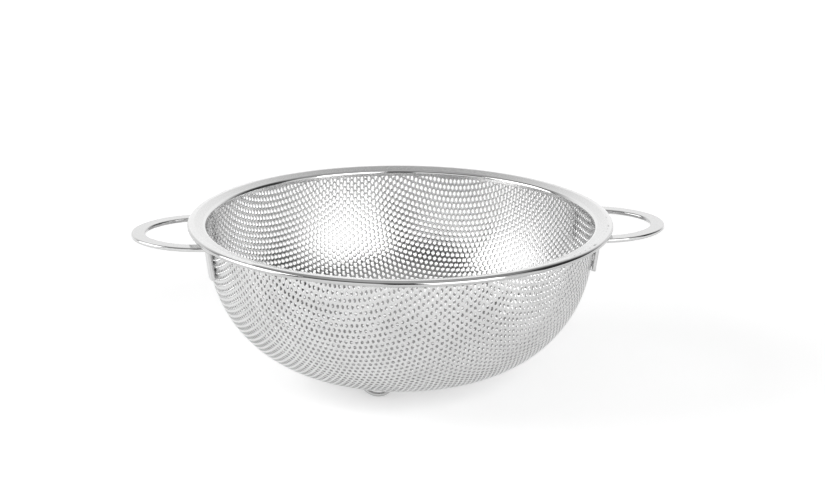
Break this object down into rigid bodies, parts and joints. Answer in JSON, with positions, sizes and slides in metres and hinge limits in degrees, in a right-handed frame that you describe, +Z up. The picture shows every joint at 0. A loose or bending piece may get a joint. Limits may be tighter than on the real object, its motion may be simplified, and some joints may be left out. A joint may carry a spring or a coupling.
{
  "type": "perforated draining mould",
  "caption": "Round-bottomed perforated stainless draining bowl with a wide satin rim, two fixed strip loop handles and small wire feet.",
  "frame": {"origin": "on the floor under the bowl's axis, where the three feet stand", "axes": "+Z up through the bowl's mouth, +X towards the right handle"},
  "size_m": [0.3028, 0.24, 0.093],
  "materials": {
    "perforated_sheet": "bright drawn stainless sheet, finely perforated",
    "rim_steel": "satin dished flange with a polished rolled edge",
    "handle_steel": "polished stainless strip",
    "wire_steel": "bright stainless wire",
    "weld_steel": "ground spot weld"
  },
  "bodies": {
    "root": {"perforated_bowl": "perforated_sheet", "rim_ring": "rim_steel", "handle_left": "handle_steel", "handle_right": "handle_steel", "handle_left_welds": "weld_steel", "handle_right_welds": "weld_steel", "foot_front": "wire_steel", "foot_right": "wire_steel", "foot_rear": "wire_steel", "foot_welds": "weld_steel"}
  },
  "joints": []
}
